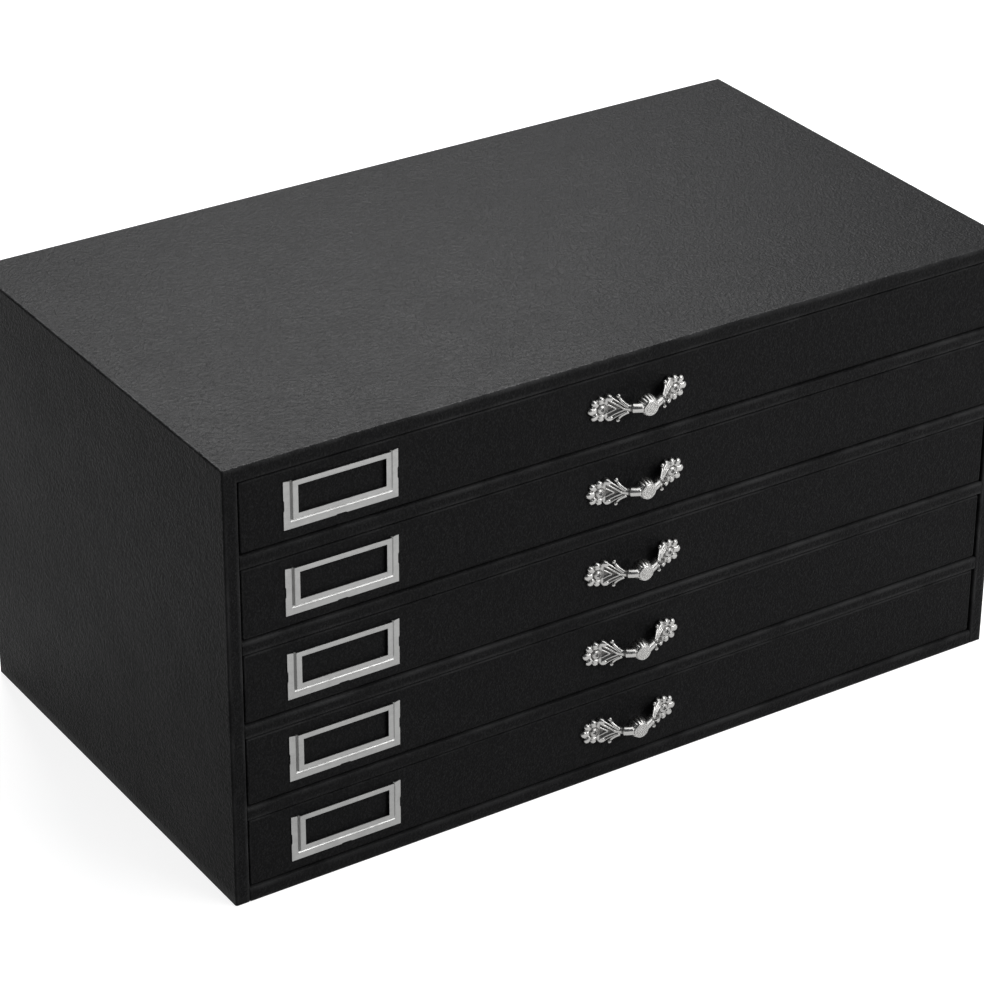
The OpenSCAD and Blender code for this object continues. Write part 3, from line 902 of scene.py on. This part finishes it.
def leaf_reach(turn):
    """Outline of a leaf about its screw: the outer side of a fan of lobes, each a circle about its own
    place, and behind them two straight edges that run in to the neck."""
    away = np.abs(turn)
    off = away - lobe_turn[:, None]
    across = lobe_out[:, None] * np.sin(off)
    fan = lobe_out[:, None] * np.cos(off) + np.sqrt(np.clip(lobe_r[:, None] ** 2 - across ** 2, 0, None))
    fan = np.where(np.abs(across) <= lobe_r[:, None], fan, 0.0).max(axis=0, keepdims=True)
    (ax, ay), (bx, by) = leaf_shoulder, leaf_neck
    c, s = np.cos(turn), np.abs(np.sin(turn))
    edge = (ax * (by - ay) - ay * (bx - ax)) / np.maximum(c * (by - ay) - s * (bx - ax), 1e-9)
    edge = np.where(away > math.atan2(ay, ax), edge, 0.0)
    end = np.where(c < 0, bx / np.minimum(c, -1e-9), 1.0)
    return np.minimum(np.maximum(np.maximum(fan, edge), leaf_disc), end)


def leaf_relief(x, y, r):
    """Carving of a leaf: domed petals drawn out towards the screw, pits between them, a domed shoulder on
    each side, three nested pairs of veins, and a collar sunk round the screw seat."""
    side = np.abs(y)
    c, s = np.cos(lobe_turn), np.sin(lobe_turn)
    along = x[..., None] * c + side[..., None] * s - lobe_out
    across = side[..., None] * c - x[..., None] * s
    from_lobe = np.hypot(np.where(along < 0, lobe_draw * along, along), across) / lobe_r
    domes = np.sqrt(np.clip(1 - from_lobe[..., :3].min(axis=-1) ** 2, 0, 1))
    petals = petal_base + (1 - petal_base) * domes
    petals = petals * (collar_keep + (1 - collar_keep) * smooth_step(collar_r, collar_r + collar_fade, r))
    petals = petals * smooth_step(*petal_end, x)
    shoulder = np.sqrt(np.clip(1 - (shoulder_fill * from_lobe[..., 3]) ** 2, 0, 1))
    ribs = [height * vein(x, side, start, end, half) for start, end, half, height in veins]
    relief = np.maximum.reduce([petals, shoulder] + ribs)
    pit_x, pit_y = pit_out * np.cos(pit_turn), pit_out * np.sin(pit_turn)
    pits = np.hypot(x[..., None] - pit_x, side[..., None] - pit_y) / pit_r
    sunk = np.exp(-pits.min(axis=-1) ** 2)
    return relief * (1 - pit_sink * sunk), pit_dark * sunk


def leaf_spine(x):
    """Height of a leaf's spine, an arc that leaves the drawer front where the leaf stops being flat, and how
    much its slope adds to the thickness."""
    off = np.clip(leaf_flat - screw_x - x, 0, 0.98 * sweep_r)
    return sweep_r - np.sqrt(sweep_r ** 2 - off ** 2), 1 / np.sqrt(1 - (off / sweep_r) ** 2)


def below_bar(x, height, sink):
    """A height kept a given depth below the upper line of the bar's straight end, where the two join."""
    root = arch_top - arch_r * (1 - math.cos(arch_turn)) + neck_r / math.cos(arch_turn)
    ridge = root - (x + screw_x - arch_r * math.sin(arch_turn)) * math.tan(arch_turn)
    return np.where(x + screw_x < leaf_join, np.minimum(height, ridge - sink), height)


def leaf_surface():
    """A leaf in rows from its screw out to its edge and back underneath, closer together at the neck. Its
    height is the sweep of its spine plus the carving, and it rounds off at its edge."""
    turn = np.linspace(-math.pi, math.pi, leaf_sides, endpoint=False)[None, :]
    turn = turn + neck_crowd * np.sin(turn)
    share = 1 - (1 - np.linspace(0, 1, leaf_rows)[:, None]) ** edge_crowd
    reach = leaf_reach(turn)
    r = share * reach
    x, y = r * np.cos(turn), r * np.sin(turn)

    spine, steep = leaf_spine(x)
    relief, sunk = leaf_relief(x, y, r)
    seat = smooth_step(seat_r, seat_r + seat_edge, r)
    ground = below_bar(x, spine + leaf_base * steep, ridge_sink)
    top = (ground + relief_rise * relief) * seat + seat_h * (1 - seat)
    under = np.maximum(np.minimum(spine - leaf_under * steep, ground - leaf_wall), 0.0)
    top = under + (top - under) * np.sqrt(1 - share ** edge_round)
    hollow = np.maximum(1 - smooth_step(*hollow_range, relief), sunk)
    hollow = hollow * smooth_step(seat_r, seat_r + seat_shadow, r)

    low_share = np.linspace(1, 0, 8)[1:, None]
    low_x, low_y = low_share * reach * np.cos(turn), low_share * reach * np.sin(turn)
    low_spine, low_steep = leaf_spine(low_x)
    low_h = below_bar(low_x, np.maximum(low_spine - leaf_under * low_steep, 0.0), foot_sink)
    upper = np.stack([x + screw_x, y, top], axis=-1)
    lower = np.stack([low_x + screw_x, low_y, low_h], axis=-1)
    return np.concatenate([upper, lower]), np.concatenate([hollow, np.ones_like(low_x)])


def tube(path, radius, sides):
    """A round profile carried along a path: rings of the given radii, square to the path."""
    ahead = np.gradient(path, axis=0)
    ahead /= np.linalg.norm(ahead, axis=1, keepdims=True)
    across = np.cross(ahead, [0.0, 0.3, 1.0])
    across /= np.linalg.norm(across, axis=1, keepdims=True)
    over = np.cross(across, ahead)
    turn = np.linspace(0, math.tau, sides, endpoint=False)[None, :, None]
    ring = np.cos(turn) * across[:, None] + np.sin(turn) * over[:, None]
    return path[:, None] + radius[:, None, None] * ring


def bar_surface():
    """The bar from one leaf to the other, on an arc that runs out straight at each end. Its radius makes a
    waisted sleeve beside the drum, draws in at a notch and swells again where it enters the leaf."""
    notch_end = sleeve_to + notch_past
    along = np.concatenate([np.linspace(0, sleeve_from, 6)[:-1],
                            np.linspace(sleeve_from, notch_end, 48)[:-1],
                            np.linspace(notch_end, arch_end, 24)])
    bend = np.clip(along / arch_r, 0, arch_turn)
    past = np.maximum(along - arch_r * arch_turn, 0)
    x = arch_r * np.sin(bend) + past * math.cos(arch_turn)
    h = arch_top - arch_r * (1 - np.cos(bend)) - past * math.sin(arch_turn)
    middle, half = (sleeve_from + sleeve_to) / 2, (sleeve_to - sleeve_from) / 2
    place = (along - middle) / half
    sleeve = (sleeve_r + sleeve_waist * place ** 2) * np.sqrt(np.clip(1 - np.abs(place) ** 14, 0, 1))
    closing = np.sqrt(np.clip((arch_end - along) / bar_close, 0, 1))
    radius = np.maximum(sleeve, neck_r * closing)
    notch = np.exp(-((along - sleeve_to - notch_at) / notch_w) ** 2)
    hollow = notch + (along < sleeve_from + drum_shadow)
    path = np.stack([x, 0 * x, h], axis=-1)
    both = np.concatenate([(path * [-1, 1, 1])[:0:-1], path])
    rings = tube(both, np.concatenate([radius[:0:-1], radius]), bar_sides)
    return rings, np.concatenate([hollow[:0:-1], hollow])[:, None]


def horn_surface(way):
    """A stem on a curve of four points along the edge of the leaf and out to one side, ending in a ball:
    the radius thins along the stem and then follows a circle."""
    bx, by, bh = ball_place
    (p0, p1, p2), p3 = horn_path, np.array([bx, by + ball_r, bh])
    on_ball = ball_from + (1 - ball_from) * np.sin(arc(0, 90, 22))
    share = np.concatenate([np.linspace(0, ball_from, 22)[:-1], on_ball])
    t = share[:, None]
    path = (1 - t) ** 3 * p0 + 3 * t * (1 - t) ** 2 * p1 + 3 * t ** 2 * (1 - t) * p2 + t ** 3 * p3
    left = np.linalg.norm(path - p3, axis=1)
    ball = np.sqrt(np.clip(ball_r ** 2 - (left - ball_r) ** 2, 0, None))
    stem = (stem_r + stem_swell * (1 - share) ** 2) * (left > ball_r) * np.minimum(1, 12 * share + 0.02)
    hollow = np.exp(-((left - 2.1 * ball_r) / horn_shadow) ** 2)
    return tube(path * [1, way, 1], np.maximum(ball, stem), horn_sides), hollow[:, None]


def drum_surface(reach):
    """The drum as a turned profile: a back, a reeded side that swells to the back, a rounded rim and a face
    sown with rings of seeds. The reeds are half rounds in the angle, and each seed is a low dome about its
    own place."""
    turn = np.linspace(0, math.tau, 16 * reeds, endpoint=False)[None, :]
    round_off = arc(-40, 90, 9)
    side_h = np.linspace(side_from, drum_len - side_to, 12)
    side_r = drum_r + drum_swell * (1 - np.linspace(0, 1, 12) ** 2)
    flat_r = np.linspace(face_r - rim_round, 0, 44)[1:]
    face_h = drum_len - seed_rise
    r = np.concatenate([side_r[0] * np.array([0, 0.5, 0.94]), side_r, [0.99 * drum_r],
                        face_r - rim_round * (1 - np.cos(round_off)), flat_r])[:, None]
    h = np.concatenate([[0, 0, 0], side_h, [drum_len - rim_groove],
                        face_h - rim_round * (1 - np.sin(round_off)), 0 * flat_r + face_h])[:, None]

    off = turn - np.round(turn * reeds / math.tau) * math.tau / reeds
    reed = np.sqrt(np.clip(1 - (off * reeds / math.pi / reed_fill) ** 2, 0, 1))
    on_side = (h < drum_len - side_stop) & (r > 0.9 * drum_r)
    ends = np.sqrt(np.clip(1 - np.abs((h - reed_mid) / reed_mid) ** 6, 0, 1)) * on_side
    grown = r + reed_rise * reed * ends

    ring = np.round(r / seed_pitch)
    count = np.maximum(6 * ring, 1)
    spot = turn - np.round(turn * count / math.tau) * math.tau / count
    near = np.hypot(r * np.cos(spot) - ring * seed_pitch, r * np.sin(spot)) / seed_r
    on_face = (np.arange(len(r)) >= len(r) - len(flat_r))[:, None] & (ring * seed_pitch < face_r - rim_round)
    seeds = np.sqrt(np.clip(1 - near ** 2, 0, 1)) * on_face
    height = reach - drum_len + h + seed_rise * seeds
    points = np.stack(np.broadcast_arrays(grown * np.cos(turn), grown * np.sin(turn), height), axis=-1)
    hollow = np.where(on_side, 1 - smooth_step(0.2, 0.75, reed + 0 * h), 0.0)
    hollow = np.where(on_face, seed_dark * (1 - smooth_step(0.1, 0.7, seeds)), hollow)
    return points, hollow


def pull_middle(drawer):
    """The place on a drawer front behind the middle of its pull, and how far the pull stands out."""
    low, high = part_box(f"{drawer}_pull")
    return np.array([(low.x + high.x) / 2, high.y, (low.z + high.z) / 2]), high.y - low.y


def pull_surfaces(drawer):
    """The bar, the drum, and a leaf with its two horns at each end, set on the drawer front."""
    middle, reach = pull_middle(drawer)
    leaf, leaf_hollow = leaf_surface()
    shapes = [bar_surface(), drum_surface(reach)]
    for end in (-1, 1):
        shapes.append((leaf * [end, 1, 1], leaf_hollow))
        for way in (-1, 1):
            horn, horn_hollow = horn_surface(way)
            shapes.append((horn * [end, 1, 1], horn_hollow))
    return [surface(on_front(*np.moveaxis(points, -1, 0), middle), hollow, loop_cols=True)
            for points, hollow in shapes]


def antique_silver():
    """Silvered casting: bright and rubbed on the raised parts, dark in the hollows, with hair lines."""
    material, tree, output = new_material("antique_silver")
    place = add_node(tree, "TexCoord").outputs["Object"]
    hollow = add_node(tree, "Attribute", attribute_name="hollow").outputs["Fac"]
    patchy_mask = use_group(tree, marks, {"Vector": place, "Patches": silver_patches})["Mask"]
    lines = use_group(tree, scratches, {"Vector": place, "Pitch": silver_pitch})["Lines"]
    bright = mix_colors(tree, math_node(tree, "MULTIPLY", lines, line_share), silver_bright, silver_worn)
    dark = math_node(tree, "MULTIPLY", hollow, remap(tree, patchy_mask, 0.0, 1.0, *silver_dirt))
    color = mix_colors(tree, dark, bright, silver_dark)
    dusty = math_node(tree, "MULTIPLY", hollow, hollow_rough)
    rough = math_node(tree, "ADD", remap(tree, patchy_mask, 0.0, 1.0, *silver_rough), dusty)
    shade(tree, output, color, rough, patchy_mask, rub_bump, {"Metallic": 1.0})
    return material


silver_finish = antique_silver()
for drawer in drawers:
    pull = build_piece(f"{drawer}_pull_casting", pull_surfaces(drawer), silver_finish, drawer,
                       attribute="hollow", closed=True, sharp=60.0)
    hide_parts(f"{drawer}_pull")


# Pull screws: small round-head screws of plated steel, driven through the seat of each leaf into the
# drawer front. A painted shade darkens the cross recess, and the plating is a little scuffed by the driver.

shank_r = 1.1 * mm
head_r = 1.75 * mm
head_dome = 0.5 * mm
head_lift = 0.1 * mm
head_sink = 0.05 * mm
recess_half = 0.34 * mm
recess_reach = 1.05 * mm
recess_depth = 0.35 * mm
plating_bright = (0.40, 0.395, 0.385, 1.0)
plating_scuffed = (0.28, 0.275, 0.27, 1.0)
# A dark tone painted into the cross recess: a painted shade.
recess_shade = (0.06, 0.06, 0.06, 1.0)
plating_rough = (0.26, 0.42)
scuff_pitch = (2200.0, 2200.0, 700.0)
scuff_bump = 0.006 * mm
haze_patches = 420.0


def screw_surface(deep):
    """A turned profile from the tip of the shank to the middle of the head, which is domed as a parabola;
    a cross is sunk into it, with the shorter of the two distances from its arms as its width."""
    turn = np.linspace(0, math.tau, 96, endpoint=False)[None, :]
    domed = np.linspace(head_r, 0, 30)
    r = np.concatenate([[0, shank_r / 2, shank_r, shank_r, head_r], domed])[:, None]
    brim = seat_h - head_sink
    dome = seat_h + head_lift + head_dome * (1 - (domed / head_r) ** 2)
    h = np.concatenate([[-deep, -deep, 2 * shank_r - deep, brim, brim], dome])
    x, y = r * np.cos(turn), r * np.sin(turn)
    long, short = np.maximum(np.abs(x), np.abs(y)), np.minimum(np.abs(x), np.abs(y))
    on_head = (np.arange(len(r)) >= len(r) - len(domed))[:, None]
    recess = smooth_step(1.25 * recess_half, 0.75 * recess_half, short) * on_head
    recess = recess * smooth_step(1.1 * recess_reach, 0.85 * recess_reach, long)
    points = np.stack([x, y, h[:, None] - recess_depth * recess], axis=-1)
    # The recess share also goes to the material, as the mask of its painted shade.
    return points, recess


def screw_plating():
    """Plated steel with scuffs and a faint haze, and painted shade in the cross recess."""
    material, tree, output = new_material("screw_plating")
    place = add_node(tree, "TexCoord").outputs["Object"]
    hollow = add_node(tree, "Attribute", attribute_name="hollow").outputs["Fac"]
    lines = use_group(tree, scratches, {"Vector": place, "Pitch": scuff_pitch})["Lines"]
    haze = use_group(tree, marks, {"Vector": place, "Patches": haze_patches})["Mask"]
    color = mix_colors(tree, math_node(tree, "MULTIPLY", lines, haze), plating_bright, plating_scuffed)
    # Painted shade: the cross recess is painted dark by its mask.
    color = mix_colors(tree, hollow, color, recess_shade)
    rough = remap(tree, haze, 0.0, 1.0, *plating_rough)
    shade(tree, output, color, rough, lines, scuff_bump, {"Metallic": 1.0})
    return material


plating_finish = screw_plating()
for drawer in drawers:
    middle = pull_middle(drawer)[0]
    points, hollow = screw_surface(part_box(f"{drawer}_pull_screws")[1].y - middle[1])
    seats = [middle + [end * screw_x, 0.0, 0.0] for end in (-1, 1)]
    screws = [surface(on_front(*np.moveaxis(points, -1, 0), seat), hollow, loop_cols=True) for seat in seats]
    screw_pair = build_piece(f"{drawer}_screw_pair", screws, plating_finish, drawer,
                             attribute="hollow", closed=True)
    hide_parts(f"{drawer}_pull_screws")
